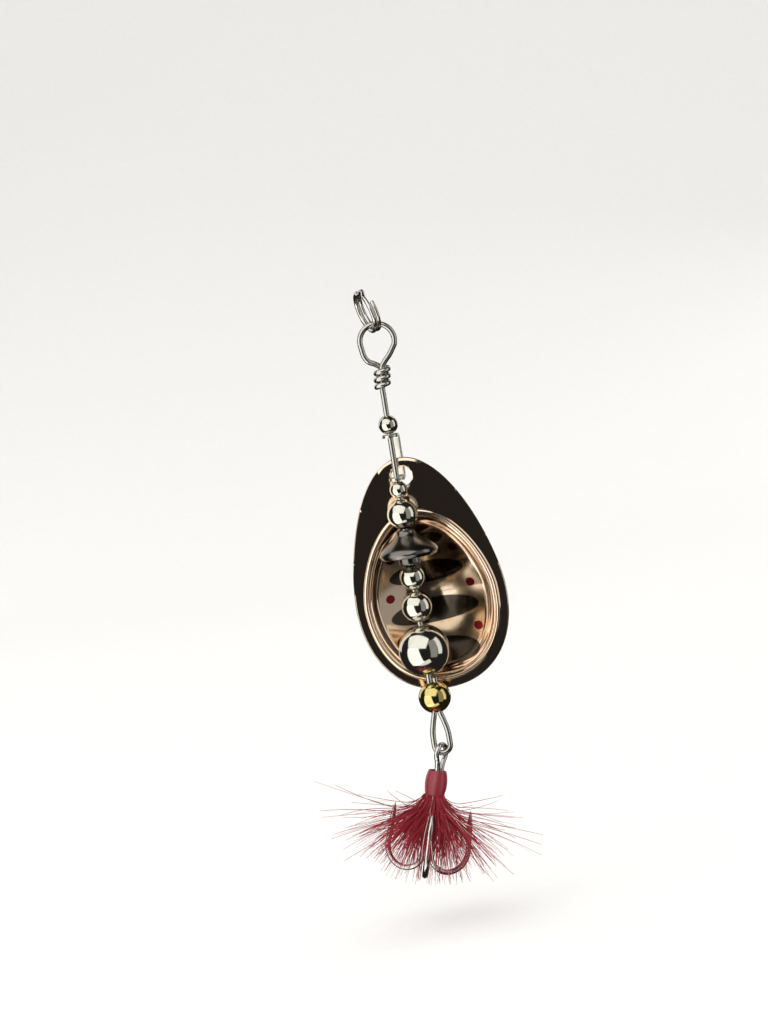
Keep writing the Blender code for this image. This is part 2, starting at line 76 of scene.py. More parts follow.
# Rows of points, each closed around, joined with quads. U runs once around, V is millimetres along.
def loft(name, rows, capStart=True, capEnd=True, ringed=False):
    count = len(rows[0])
    verts = [point for row in rows for point in row]
    along = [0.0]
    for row, following in zip(rows, rows[1:]):
        along.append(along[-1] + (following[0] - row[0]).length)
    faces, corners, rowOfFace = [], [], []
    for r in range(len(rows) if ringed else len(rows) - 1):
        after = (r + 1) % len(rows)
        vEnd = along[after] if after else along[-1] + (rows[0][0] - rows[-1][0]).length
        for s in range(count):
            t = (s + 1) % count
            faces.append((r * count + s, r * count + t, after * count + t, after * count + s))
            u, uNext = s / count, (s + 1) / count
            corners += [(u, along[r]), (uNext, along[r]), (uNext, vEnd), (u, vEnd)]
            rowOfFace.append(r)
    caps = [(0, capStart, False), (len(rows) - 1, capEnd, True)]
    for r, wanted, flip in caps if not ringed else []:
        if not wanted:
            continue
        middle = sum(rows[r], Vector((0, 0, 0))) / count
        verts.append(wanted if isinstance(wanted, Vector) else middle)
        for s in range(count):
            t = (s + 1) % count
            pair = (r * count + s, r * count + t)
            faces.append((*(pair if flip else pair[::-1]), len(verts) - 1))
            corners += [(s / count, along[r]), ((s + 1) / count, along[r]), (s / count, along[r])]
            rowOfFace.append(r)
    mesh = bpy.data.meshes.new(name)
    mesh.from_pydata([point * mm for point in verts], [], faces)
    uvs = mesh.uv_layers.new(name="UVMap")
    for loop, corner in zip(uvs.data, corners):
        loop.uv = corner
    bm = bmesh.new()
    bm.from_mesh(mesh)
    bmesh.ops.recalc_face_normals(bm, faces=bm.faces)
    bm.to_mesh(mesh)
    bm.free()
    return mesh, rowOfFace


def smoothShade(mesh, sharpAbove=40):
    mesh.shade_smooth()
    mesh.set_sharp_from_angle(angle=math.radians(sharpAbove))


# Rings around a path that keep from twisting, one radius to each point.
def ringsAlong(points, radii, sides):
    tangents = []
    for index in range(len(points)):
        before = points[max(index - 1, 0)]
        after = points[min(index + 1, len(points) - 1)]
        tangents.append((after - before).normalized())
    side = tangents[0].orthogonal().normalized()
    rows = []
    for point, tangent, radius in zip(points, tangents, radii):
        side = (side - tangent * side.dot(tangent)).normalized()
        other = tangent.cross(side)
        row = []
        for step in range(sides):
            angle = 2 * math.pi * step / sides
            row.append(point + (side * math.cos(angle) + other * math.sin(angle)) * radius)
        rows.append(row)
    return rows


# Round wire with its two ends ground to a small chamfer.
def wireMesh(name, points, diameter, sides=20, radii=None, chamfer=0.08):
    radius = diameter / 2
    radii = list(radii or [radius] * len(points))
    points = list(points)
    if chamfer:
        startWay = (points[1] - points[0]).normalized()
        endWay = (points[-2] - points[-1]).normalized()
        points = [points[0], points[0] + startWay * chamfer, *points[1:-1],
                  points[-1] + endWay * chamfer, points[-1]]
        radii = [radii[0] - chamfer, radii[0], *radii[1:-1], radii[-1], radii[-1] - chamfer]
    mesh, _ = loft(name, ringsAlong(points, radii, sides))
    smoothShade(mesh)
    return mesh


# A smooth curve through a few points.
def smoothLine(points, steps):
    points = [Vector(point) for point in points]
    ends = [2 * points[0] - points[1], *points, 2 * points[-1] - points[-2]]
    line = [points[0]]
    for before, start, end, after in zip(ends, ends[1:], ends[2:], ends[3:]):
        for step in range(1, steps + 1):
            t = step / steps
            line.append(
                start + (end - before) * (t / 2)
                + (2 * before - 5 * start + 4 * end - after) * (t * t / 2)
                + (3 * start - before - 3 * end + after) * (t ** 3 / 2)
            )
    return line


def arcLine(center, radius, start, end, steps):
    angles = [start + (end - start) * step / steps for step in range(steps + 1)]
    return [center + Vector((radius * math.cos(a), 0, radius * math.sin(a))) for a in angles]


# A turned piece from a closed outline of (radius, height), cut on a lathe about Z.
def turnedMesh(name, outline, steps=96, sharpAbove=40):
    turns = [2 * math.pi * step / steps for step in range(steps)]
    rows = [[Vector((r * math.cos(a), r * math.sin(a), z)) for a in turns] for r, z in outline]
    mesh, _ = loft(name, rows, ringed=True)
    smoothShade(mesh, sharpAbove)
    return mesh


def addPiece(name, mesh, finishes, body, node, place=None):
    piece = bpy.data.objects.new(name, mesh)
    for finish in finishes if isinstance(finishes, list) else [finishes]:
        mesh.materials.append(finish)
    bpy.context.scene.collection.objects.link(piece)
    piece.matrix_world = place or Matrix()
    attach(piece, body)
    if node:
        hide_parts(node)
    return piece


# The mesh an object has after its modifiers, with the object and its cutters cleared away.
def bakeModifiers(draft, *cutters):
    graph = bpy.context.evaluated_depsgraph_get()
    mesh = bpy.data.meshes.new_from_object(draft.evaluated_get(graph))
    for obj in (draft, *cutters):
        bpy.data.objects.remove(obj)
    return mesh


def roundCutter(radius, length, place, steps=96):
    bm = bmesh.new()
    bmesh.ops.create_cone(bm, cap_ends=True, segments=steps, radius1=radius * mm,
                          radius2=radius * mm, depth=length * mm)
    mesh = bpy.data.meshes.new("cutter")
    bm.to_mesh(mesh)
    bm.free()
    cutter = bpy.data.objects.new("cutter", mesh)
    bpy.context.scene.collection.objects.link(cutter)
    cutter.matrix_world = place
    cutter.hide_render = True
    return cutter


def placeAt(point, *turns):
    place = Matrix.Translation(Vector(point) * mm)
    for degrees, axis in turns:
        place @= Matrix.Rotation(math.radians(degrees), 4, axis)
    return place


# Materials

def hexColor(code):
    channels = [int(code[start:start + 2], 16) / 255 for start in (1, 3, 5)]
    linear = [c / 12.92 if c <= 0.04045 else ((c + 0.055) / 1.055) ** 2.4 for c in channels]
    return (*linear, 1.0)


# One node with its settings, and its inputs set or linked.
def addNode(tree, kind, inputs=None, **settings):
    node = tree.nodes.new(kind)
    for name, value in settings.items():
        setattr(node, name, value)
    for name, value in (inputs or {}).items():
        if isinstance(value, bpy.types.NodeSocket):
            tree.links.new(value, node.inputs[name])
        else:
            node.inputs[name].default_value = value
    return node


def newMaterial(name, **constants):
    material = bpy.data.materials.new(name)
    material.use_nodes = True
    tree = material.node_tree
    shader = tree.nodes["Principled BSDF"]
    for socket, value in constants.items():
        shader.inputs[socket.replace("_", " ")].default_value = value
    return material, tree, shader


# Plated or polished metal: soft cloudy polish in the roughness, fine buffing marks in the bump.
polishedMetals = {
    "brightNickelPlate": {
        # decorative nickel over turned brass: slightly warm, near mirror, olive in its darks
        "color": "#dcd8c9", "dull": "#c2bcab", "roughness": (0.08, 0.13), "cloudMm": 1.6,
        "markMm": 0.12, "markDepth": 0.0008,
    },
    "splitRingNickel": {
        # nickel plate over spring wire: cooler, a little duller than the beads
        "color": "#dcd9cf", "dull": "#c2beb2", "roughness": (0.16, 0.24), "cloudMm": 0.8,
        "markMm": 0.10, "markDepth": 0.001,
    },
    "satinStripNickel": {
        # nickel plate over folded strip: the rolled face keeps it satin, so it glows evenly
        "color": "#dedacc", "dull": "#c6c1b2", "roughness": (0.24, 0.34), "cloudMm": 1.0,
        "markMm": 0.14, "markDepth": 0.0015,
    },
    "blackNickelPlate": {
        # black nickel: the mirror of nickel with most of its light taken out, a cool brown black
        "color": "#7d7972", "dull": "#625f5a", "roughness": (0.16, 0.26), "cloudMm": 1.4,
        "markMm": 0.14, "markDepth": 0.001,
    },
    "polishedBrass": {
        # turned yellow brass, buffed bright, browner where it has begun to tone
        "color": "#dcc680", "dull": "#b0965a", "roughness": (0.08, 0.14), "cloudMm": 1.2,
        "markMm": 0.12, "markDepth": 0.001,
    },
    "tinnedHookWire": {
        # hook wire, bright tinned after hardening: whiter and softer than nickel
        "color": "#d8d7d1", "dull": "#b8b6ae", "roughness": (0.14, 0.22), "cloudMm": 0.9,
        "markMm": 0.10, "markDepth": 0.0015,
    },
}


def polishedMetal(name):
    spec = polishedMetals[name]
    material, tree, shader = newMaterial(name, Metallic=1.0)
    coords = addNode(tree, "ShaderNodeTexCoord")
    clouds = addNode(tree, "ShaderNodeTexNoise", {
        "Vector": coords.outputs["Object"], "Scale": 1 / (spec["cloudMm"] * mm), "Detail": 4.0,
        "Roughness": 0.6})
    patch = addNode(tree, "ShaderNodeMapRange", {
        "Value": clouds.outputs["Fac"], "From Min": 0.35, "From Max": 0.7,
        "To Min": spec["roughness"][0], "To Max": spec["roughness"][1]})
    tone = addNode(tree, "ShaderNodeMapRange", {
        "Value": clouds.outputs["Fac"], "From Min": 0.45, "From Max": 0.8, "To Max": 0.5})
    color = addNode(tree, "ShaderNodeMix", {
        0: tone.outputs["Result"], 6: hexColor(spec["color"]), 7: hexColor(spec["dull"])},
        data_type="RGBA")
    marks = addNode(tree, "ShaderNodeTexNoise", {
        "Vector": coords.outputs["Object"], "Scale": 1 / (spec["markMm"] * mm), "Detail": 2.0})
    bump = addNode(tree, "ShaderNodeBump", {
        "Height": marks.outputs["Fac"], "Strength": 1.0, "Distance": spec["markDepth"] * mm})
    tree.links.new(color.outputs[2], shader.inputs["Base Color"])
    tree.links.new(patch.outputs["Result"], shader.inputs["Roughness"])
    tree.links.new(bump.outputs["Normal"], shader.inputs["Normal"])
    return material


# Stainless spring wire, drawn through a die: bright, with faint lines along it. The lines are drawn
# 0.06 mm apart, coarser than real ones, so that they show.
springWireSpec = {"color": "#dad7ce", "dull": "#bebbb1", "linesAround": 40, "lineLengthMm": 9.0,
                  "lineDepth": 0.0012, "roughness": (0.17, 0.25)}


def springWire():
    spec = springWireSpec
    material, tree, shader = newMaterial("stainlessSpringWire", Metallic=1.0)
    coords = addNode(tree, "ShaderNodeTexCoord")
    stretch = addNode(tree, "ShaderNodeMapping", {
        "Vector": coords.outputs["UV"],
        "Scale": (spec["linesAround"], 1 / spec["lineLengthMm"], 1.0)})
    lines = addNode(tree, "ShaderNodeTexNoise", {
        "Vector": stretch.outputs["Vector"], "Scale": 1.0, "Detail": 3.0})
    rough = addNode(tree, "ShaderNodeMapRange", {
        "Value": lines.outputs["Fac"], "From Min": 0.3, "From Max": 0.7,
        "To Min": spec["roughness"][0], "To Max": spec["roughness"][1]})
    color = addNode(tree, "ShaderNodeMix", {
        0: lines.outputs["Fac"], 6: hexColor(spec["color"]), 7: hexColor(spec["dull"])},
        data_type="RGBA")
    bump = addNode(tree, "ShaderNodeBump", {
        "Height": lines.outputs["Fac"], "Strength": 1.0, "Distance": spec["lineDepth"] * mm})
    tree.links.new(color.outputs[2], shader.inputs["Base Color"])
    tree.links.new(rough.outputs["Result"], shader.inputs["Roughness"])
    tree.links.new(bump.outputs["Normal"], shader.inputs["Normal"])
    return material


# Copper plate on stamped brass, lacquered: rose peach, near mirror. The hollow side carries printed
# marks: dark smoky bars across the blade and small crimson spots beside them.
copperSpec = {
    "color": "#f9dec3", "dull": "#ecc6a4", "roughness": (0.07, 0.12), "cloudMm": 3.0,
    "markMm": 0.25, "markDepth": 0.0010,
    "barColor": "#51473e", "spotColor": "#8c1426",
    # bars: how far below the top, how far out their tips reach, how high
    "bars": [(12.0, 3.4, 2.1), (16.6, 5.1, 3.1), (22.0, 6.1, 3.4), (27.7, 5.0, 3.8)],
    # spots: how far below the top, how far out
    "spots": [(13.8, 4.3), (19.1, 5.5), (25.1, 5.3)],
    "spotDiameter": 1.25,
    # how much of a mark's half width its soft edge takes
    "barEdge": 0.03, "spotEdge": 0.1,
}


def copperPlate(printed):
    spec = copperSpec
    material, tree, shader = newMaterial(
        "copperPlatePrinted" if printed else "copperPlate", Metallic=1.0, Coat_Weight=0.3,
        Coat_Roughness=0.04)
    coords = addNode(tree, "ShaderNodeTexCoord")
    clouds = addNode(tree, "ShaderNodeTexNoise", {
        "Vector": coords.outputs["Object"], "Scale": 1 / (spec["cloudMm"] * mm), "Detail": 5.0,
        "Roughness": 0.6})
    rough = addNode(tree, "ShaderNodeMapRange", {
        "Value": clouds.outputs["Fac"], "From Min": 0.35, "From Max": 0.7,
        "To Min": spec["roughness"][0], "To Max": spec["roughness"][1]})
    tone = addNode(tree, "ShaderNodeMapRange", {
        "Value": clouds.outputs["Fac"], "From Min": 0.5, "From Max": 0.8, "To Max": 0.6})
    metal = addNode(tree, "ShaderNodeMix", {
        0: tone.outputs["Result"], 6: hexColor(spec["color"]), 7: hexColor(spec["dull"])},
        data_type="RGBA")
    color = metal.outputs[2]
    if printed:
        # Each mark is an ellipse: the point is moved and scaled so that its edge is 1 from the middle.
        def mark(down, side, halfWidth, halfHeight, edge):
            moved = addNode(tree, "ShaderNodeVectorMath", {
                0: coords.outputs["Object"],
                1: (side * mm, 0, (bladeSpec["holeEdge"] - down) * mm)}, operation="SUBTRACT")
            scaled = addNode(tree, "ShaderNodeVectorMath", {
                0: moved.outputs["Vector"],
                1: (1 / (halfWidth * mm), 0, 1 / (halfHeight * mm))}, operation="MULTIPLY")
            reach = addNode(tree, "ShaderNodeVectorMath", {0: scaled.outputs["Vector"]},
                            operation="LENGTH")
            return addNode(tree, "ShaderNodeMapRange", {
                "Value": reach.outputs["Value"], "From Min": 1.0 - edge, "From Max": 1.0,
                "To Min": 1.0, "To Max": 0.0}).outputs["Result"]

        def together(masks):
            total = masks[0]
            for mask in masks[1:]:
                total = addNode(tree, "ShaderNodeMath", {0: total, 1: mask},
                                operation="MAXIMUM").outputs["Value"]
            return total

        bars = together([mark(down, 0, tip, high / 2, spec["barEdge"])
                         for down, tip, high in spec["bars"]])
        spots = together([mark(down, out * way, spec["spotDiameter"] / 2,
                               spec["spotDiameter"] / 2, spec["spotEdge"])
                          for down, out in spec["spots"] for way in (-1, 1)])
        color = addNode(tree, "ShaderNodeMix", {
            0: bars, 6: color, 7: hexColor(spec["barColor"])}, data_type="RGBA").outputs[2]
        color = addNode(tree, "ShaderNodeMix", {
            0: spots, 6: color, 7: hexColor(spec["spotColor"])}, data_type="RGBA").outputs[2]
    marks = addNode(tree, "ShaderNodeTexNoise", {
        "Vector": coords.outputs["Object"], "Scale": 1 / (spec["markMm"] * mm), "Detail": 2.0})
    bump = addNode(tree, "ShaderNodeBump", {
        "Height": marks.outputs["Fac"], "Strength": 1.0, "Distance": spec["markDepth"] * mm})
    tree.links.new(color, shader.inputs["Base Color"])
    tree.links.new(rough.outputs["Result"], shader.inputs["Roughness"])
    tree.links.new(bump.outputs["Normal"], shader.inputs["Normal"])
    return material


# Red nylon thread wound wet with clear lacquer: deep crimson under a wet gloss.
threadSpec = {"color": "#6e0a19", "light": "#9a1628", "fibreMm": 0.05}


def lacqueredThread():
    spec = threadSpec
    material, tree, shader = newMaterial(
        "lacqueredRedThread", Roughness=0.42, Coat_Weight=1.0, Coat_Roughness=0.06)
    coords = addNode(tree, "ShaderNodeTexCoord")
    fibres = addNode(tree, "ShaderNodeTexNoise", {
        "Vector": coords.outputs["Object"], "Scale": 1 / (spec["fibreMm"] * mm), "Detail": 3.0})
    color = addNode(tree, "ShaderNodeMix", {
        0: fibres.outputs["Fac"], 6: hexColor(spec["color"]), 7: hexColor(spec["light"])},
        data_type="RGBA")
    bump = addNode(tree, "ShaderNodeBump", {
        "Height": fibres.outputs["Fac"], "Strength": 0.6, "Distance": 0.01 * mm})
    tree.links.new(color.outputs[2], shader.inputs["Base Color"])
    tree.links.new(bump.outputs["Normal"], shader.inputs["Normal"])
    return material


# Dyed hair: each strand has its own depth of colour, and its tip is lighter than its root.
hairSpec = {"dark": "#6d0a1a", "light": "#b52034", "pale": "#d9c3b4"}


def dyedHair():
    spec = hairSpec
    material, tree, shader = newMaterial(
        "dyedCrimsonHair", Roughness=0.38, Specular_IOR_Level=0.6)
    tone = addNode(tree, "ShaderNodeAttribute", attribute_name="tone")
    color = addNode(tree, "ShaderNodeMix", {
        0: tone.outputs["Fac"], 6: hexColor(spec["dark"]), 7: hexColor(spec["light"])},
        data_type="RGBA")
    isPale = addNode(tree, "ShaderNodeMath", {0: tone.outputs["Fac"], 1: 1.2},
                     operation="GREATER_THAN")
    final = addNode(tree, "ShaderNodeMix", {
        0: isPale.outputs["Value"], 6: color.outputs[2], 7: hexColor(spec["pale"])},
        data_type="RGBA")
    tree.links.new(final.outputs[2], shader.inputs["Base Color"])
    return material


# Matt studio paper
def studioPaper():
    material, tree, shader = newMaterial("mattStudioPaper", Roughness=0.9)
    coords = addNode(tree, "ShaderNodeTexCoord")
    grain = addNode(tree, "ShaderNodeTexNoise", {
        "Vector": coords.outputs["Object"], "Scale": 1 / (1.5 * mm), "Detail": 3.0})
    color = addNode(tree, "ShaderNodeMix", {
        0: grain.outputs["Fac"], 6: hexColor("#e6e5e2"), 7: hexColor("#ebeae8")},
        data_type="RGBA")
    tree.links.new(color.outputs[2], shader.inputs["Base Color"])
    return material


# Wire shaft: one wire from the tag, round the loop, up the shaft, round the eye to the wraps
shaftSpec = {
    "wire": 0.75, "seatGap": 0.05, "eyeWidth": 5.35, "eyeShift": 0.30, "neckDepth": 5.5,
    "neckLean": 7.7, "shaftSideArc": 20, "wrapSideArc": 10, "wrapTurns": 2.75, "wrapPitch": 0.91,
    "wrapStart": 100, "loopWidth": 2.87, "loopDepth": 5.8, "tagShown": 0.5,
    # the loop's flare: how far out, as a share of its bulge, and how far down its length
    "loopFlare": ((0.45, 0.25), (0.93, 0.6)),
}

brassLow, brassHigh = boxInMm("brass_bead")
wire = shaftSpec["wire"]
eyeRadius = (shaftSpec["eyeWidth"] - wire) / 2
eyeCenter = Vector((shaftSpec["eyeShift"], 0, wire / 2 - eyeRadius))
tagX = wire + shaftSpec["seatGap"]
brassDiameter = brassHigh.x - brassLow.x
legsZ = (brassHigh.z + brassLow.z) / 2 - brassDiameter / 2
loopRadius = (shaftSpec["loopWidth"] - wire) / 2
loopCenter = Vector((tagX / 2, 0, legsZ - shaftSpec["loopDepth"] + wire / 2 + loopRadius))


def wireShaftPath():
    spec = shaftSpec
    neck = spec["neckDepth"]
    footZ = -neck - spec["wrapTurns"] * spec["wrapPitch"] - wire / 2
    slant = math.tan(math.radians(spec["neckLean"]))

    # the wire inside the wraps leans a little to the side above their foot
    def neckX(z):
        return max(z - footZ, 0) * slant

    eye = arcLine(eyeCenter, eyeRadius, -math.radians(spec["shaftSideArc"]),
                  math.pi + math.radians(spec["wrapSideArc"]), 96)
    wrapRadius = wire + spec["seatGap"]
    perTurn = 48
    wraps = []
    for step in range(round(spec["wrapTurns"] * perTurn) + 1):
        turn = step / perTurn
        angle = math.radians(spec["wrapStart"]) - 2 * math.pi * turn
        z = -neck - spec["wrapPitch"] * turn
        wraps.append(Vector((neckX(z) + wrapRadius * math.cos(angle), wrapRadius * math.sin(angle),
                             z)))
    right, left = eye[0], eye[-1]
    middleZ = (footZ - neck) / 2
    shaftLeg = smoothLine([
        (0, 0, footZ - wire), (0, 0, footZ), (neckX(middleZ), 0, middleZ),
        (neckX(-neck), 0, -neck), (eyeRadius * 0.39, 0, -neck * 0.86),
        (eyeRadius * 0.72, 0, -neck * 0.71), right], 12)
    wrapLeg = smoothLine([
        left, (-eyeRadius * 0.76, 0, -neck * 0.67),
        (-eyeRadius * 0.54, eyeRadius * 0.04, -neck * 0.82),
        (-eyeRadius * 0.20, eyeRadius * 0.22, -neck * 0.90), wraps[0]], 12)
    bottom = arcLine(loopCenter, loopRadius, math.pi, 2 * math.pi, 48)
    length = legsZ - loopCenter.z
    bulge = loopRadius - tagX / 2
    flare = [(bulge * out, legsZ - length * down) for out, down in spec["loopFlare"]]
    loopIn = smoothLine([
        (0, 0, legsZ + wire), (0, 0, legsZ), *[(-out, 0, z) for out, z in flare], bottom[0]], 12)
    loopOut = smoothLine([
        bottom[-1], *[(tagX + out, 0, z) for out, z in flare[::-1]], (tagX, 0, legsZ),
        (tagX, 0, legsZ + wire)], 12)
    path = wraps[::-1] + wrapLeg[::-1][1:] + eye[::-1][1:] + shaftLeg[::-1][1:]
    top, foot = path[-1], loopIn[0]
    path += [top.lerp(foot, step / 60) for step in range(1, 60)]
    path += loopIn + bottom[1:] + loopOut[1:]
    tagTop = Vector((tagX, 0, legsZ + brassDiameter + spec["tagShown"]))
    last = path[-1]
    path += [last.lerp(tagTop, step / 6) for step in range(1, 7)]
    return path


steel = springWire()
addPiece("wireShaft", wireMesh("wireShaft", wireShaftPath(), wire, 24), steel, "shaft",
         "wire_shaft")
print("wire shaft done")

# Split ring: two turns side by side, with a crank between them
ringSpec = {"outer": 6.0, "wire": 0.56, "turnGap": 0.06, "crank": 45, "lean": 14.6,
            "yaw": 17, "linkGap": 0.20,
            "crankStop": 6, "endStop": 16}


def splitRingPath():
    spec = ringSpec
    radius = (spec["outer"] - spec["wire"]) / 2
    halfStep = (spec["wire"] + spec["turnGap"]) / 2
    crank = math.radians(spec["crank"])
    crankStart = 2 * math.pi - math.radians(spec["crankStop"]) - crank
    last = 2 * math.pi + crankStart - math.radians(spec["endStop"])
    hingeToCenter = radius - spec["wire"] / 2 - wire / 2 - spec["linkGap"]
    points = []
    for step in range(241):
        angle = last * step / 240
        t = min(max((angle - crankStart) / crank, 0), 1)
        across = halfStep * (2 * (3 * t * t - 2 * t ** 3) - 1)
        points.append(Vector((across, radius * math.sin(angle),
                              hingeToCenter + radius * math.cos(angle))))
    return points


ringPlace = Matrix.Translation(Vector(jointsByName["ring_swing"]["pos_m"]))
ringPlace @= Matrix.Rotation(math.radians(-ringSpec["lean"]), 4, "Y")
ringPlace @= Matrix.Rotation(math.radians(ringSpec["yaw"]), 4, "Z")
ringFinish = polishedMetal("splitRingNickel")
addPiece("splitRing", wireMesh("splitRing", splitRingPath(), ringSpec["wire"], 24), ringFinish,
         "ring", "split_ring", ringPlace)
print("split ring done")

# Beads: turned balls, drilled through, with the drill's small countersink at each mouth
beadSpecs = {
    "upper_bead": {"piece": "upperBead", "finish": "brightNickelPlate", "slot": "nickel"},
    "neck_bead": {"piece": "neckBead", "finish": "brightNickelPlate", "slot": "nickel"},
    "shoulder_bead": {"piece": "shoulderBead", "finish": "brightNickelPlate", "slot": "nickel"},
    "waist_bead": {"piece": "waistBead", "finish": "brightNickelPlate", "slot": "nickel"},
    "middle_bead": {"piece": "middleBead", "finish": "brightNickelPlate", "slot": "nickel"},
    "big_bead": {"piece": "bigBead", "finish": "brightNickelPlate", "slot": "nickel", "wall": 0.6},
    "brass_bead": {"piece": "brassBead", "finish": "polishedBrass", "slot": "brass"},
}
boreSpec = {"gap": 0.08, "countersink": 0.10}
finishes = {name: polishedMetal(name) for name in polishedMetals if name != "splitRingNickel"}
finishes["splitRingNickel"] = ringFinish


def ballOutline(radius, mouth, steps):
    edge = math.acos(mouth / radius)
    angles = [edge - 2 * edge * step / steps for step in range(steps + 1)]
    return [(radius * math.cos(angle), radius * math.sin(angle)) for angle in angles]


def beadMesh(name, radius, bore, wall):
    mouth = bore + boreSpec["countersink"]
    outline = ballOutline(radius, mouth, 48)
    top = outline[0][1]
    drop = boreSpec["countersink"]
    if wall:
        inner = ballOutline(radius - wall, bore, 32)[::-1]
        outline += [(bore, -top + drop), *inner, (bore, top - drop)]
    else:
        outline += [(bore, -top + drop), (bore, 0), (bore, top - drop)]
    return turnedMesh(name, outline)


for node, spec in beadSpecs.items():
    low, high = boxInMm(node)
    middle = (low + high) / 2
    radius = (high.x - low.x) / 2
    bore = wire / 2 + boreSpec["gap"] + (tagX / 2 if node == "brass_bead" else 0)
    addPiece(spec["piece"], beadMesh(spec["piece"], radius, bore, spec.get("wall")),
             finishes[spec["finish"]], node, node, placeAt(middle))
print("beads done")

# Bell: turned, with a hollow flare, a thin lip and a boss in its recess
bellSpec = {"top": 2.5, "base": 7.9, "height": 3.6, "lip": 0.55, "lipTaper": 0.2, "lipWall": 0.45,
            "recess": 0.9, "boss": 3.1, "bossOut": 1.0, "bossEdge": 0.2, "edge": 0.08}


def bellOutline():
    spec = bellSpec
    bore = wire / 2 + boreSpec["gap"]
    flareHeight = spec["height"] - spec["lip"]
    top, base, edge = spec["top"] / 2, spec["base"] / 2, spec["edge"]
    outline = [(bore, -edge), (bore + edge, 0), (top - edge, 0)]
    for step in range(49):
        t = step / 48
        outline.append((top + (base - top) * t * t * (3 - 2 * t), -edge - (flareHeight - edge) * t))
    foot, height = base - spec["lipTaper"], spec["height"]
    inside = foot - spec["lipWall"]
    # the lip: a crisp upper corner, then in a little to its rounded foot
    outline += [
        (base + edge * 0.1, -flareHeight - edge * 0.6), (base - edge * 0.2, -flareHeight - edge * 1.4),
        (foot, -height + edge), (foot - edge * 0.4, -height + edge * 0.3), (foot - edge, -height),
        (inside + edge, -height), (inside + edge * 0.3, -height + edge * 0.3),
    ]
    boss, out, bossRound = spec["boss"] / 2, spec["bossOut"], spec["bossEdge"]
    start, end = (inside, -height + edge), (boss, -height + spec["recess"])
    for step in range(13):
        t = step / 12
        outline.append((start[0] + (end[0] - start[0]) * t,
                        start[1] + (end[1] - start[1]) * math.sin(math.pi / 2 * t)))
    for step in range(7):
        angle = math.pi / 2 * step / 6
        outline.append((boss - bossRound + bossRound * math.cos(angle),
                        -height - out + bossRound - bossRound * math.sin(angle)))
    outline += [(bore + edge / 2, -height - out), (bore, -height - out + edge / 2)]
    return outline


bellTop = boxInMm("bell")[1].z
addPiece("bell", turnedMesh("bell", bellOutline(), 128), finishes["blackNickelPlate"], "bell",
         "bell", placeAt((0, 0, bellTop)))
print("bell done")

# Folded clevis: a strip bent into a C, with two round tabs drilled for the wire
clevisSpec = {"height": 6.18, "metal": 0.38, "tab": 2.1, "web": 0.9, "reach": 2.4, "bend": 0.55,
              "yaw": -20, "edge": 0.05}


def clevisMesh():
    spec = clevisSpec
    halfHeight = (spec["height"] - spec["metal"]) / 2
    tab, bend, reach = spec["tab"] / 2, spec["bend"], spec["reach"]
    line = []
    for step in range(19):
        angle = math.pi - (math.pi / 2 + 0.45) * step / 18
        line.append((tab * math.cos(angle), halfHeight, max(tab * math.sin(angle), tab * 0.08)))
    neckEnd = line[-1]
    for step in range(1, 9):
        t = step / 8
        ease = t * t * (3 - 2 * t)
        line.append((neckEnd[0] + (reach - bend - neckEnd[0]) * t, halfHeight,
                     neckEnd[2] + (spec["web"] / 2 - neckEnd[2]) * ease))
    for step in range(1, 11):
        angle = math.pi / 2 * (1 - step / 10)
        line.append((reach - bend + bend * math.cos(angle),
                     halfHeight - bend + bend * math.sin(angle), spec["web"] / 2))
    line += [(out, -up, half) for out, up, half in line[::-1]]
    across = [-1, -0.5, 0, 0.5, 1]
    verts = [Vector((side * half, out, up)) * mm for out, up, half in line for side in across]
    wide = len(across)
    faces = [(r * wide + s, (r + 1) * wide + s, (r + 1) * wide + s + 1, r * wide + s + 1)
             for r in range(len(line) - 1) for s in range(wide - 1)]
    mesh = bpy.data.meshes.new("clevisDraft")
    mesh.from_pydata(verts, [], faces)
    draft = bpy.data.objects.new("clevisDraft", mesh)
    bpy.context.scene.collection.objects.link(draft)
    solid = draft.modifiers.new("metal", "SOLIDIFY")
    solid.thickness = spec["metal"] * mm
    solid.offset = 0
    solid.use_even_offset = True
    drill = roundCutter(wire / 2 + boreSpec["gap"], spec["height"] * 2, Matrix())
    cut = draft.modifiers.new("drill", "BOOLEAN")
    cut.operation = "DIFFERENCE"
    cut.object = drill
    edge = draft.modifiers.new("edge", "BEVEL")
    edge.width = spec["edge"] * mm
    edge.segments = 3
    edge.limit_method = "ANGLE"
    edge.angle_limit = math.radians(50)
    mesh = bakeModifiers(draft, drill)
    smoothShade(mesh, 35)
    return mesh


clevisLow, clevisHigh = boxInMm("clevis")
addPiece("foldedClevis", clevisMesh(), finishes["satinStripNickel"], "clevis", "clevis",
         placeAt((0, 0, (clevisLow.z + clevisHigh.z) / 2), (clevisSpec["yaw"], "Z")))
print("clevis done")

# Blade: stamped egg with a pressed ridge around a deep basin
bladeSpec = {
    "length": 32.3, "halfWidth": 10.2, "widest": 19.7, "metal": 0.4, "hole": 2.8,
    "holeEdge": 1.15, "tilt": 7, "yaw": -3, "roll": -4, "rim": 1.15, "rimTop": 7.3,
    "ridgeWidth": 0.6, "ridgeHeight": 0.25, "wall": 1.1, "wallTop": 1.9, "wallDepth": 1.2,
    "basinDepth": 3.4, "edge": 0.14, "edgeStart": 0.02, "punchEdge": 0.05,
}


def eggPoint(angle, top, bottom, widest, halfWidth):
    above = math.cos(angle) > 0
    reach = widest - top if above else bottom - widest
    downPower, sidePower = (1.55, 2.0) if above else (2.2, 2.2)
    down = abs(math.cos(angle)) ** (2 / downPower) * reach
    side = abs(math.sin(angle)) ** (2 / sidePower) * halfWidth
    return (math.copysign(side, math.sin(angle)), widest - down if above else widest + down)


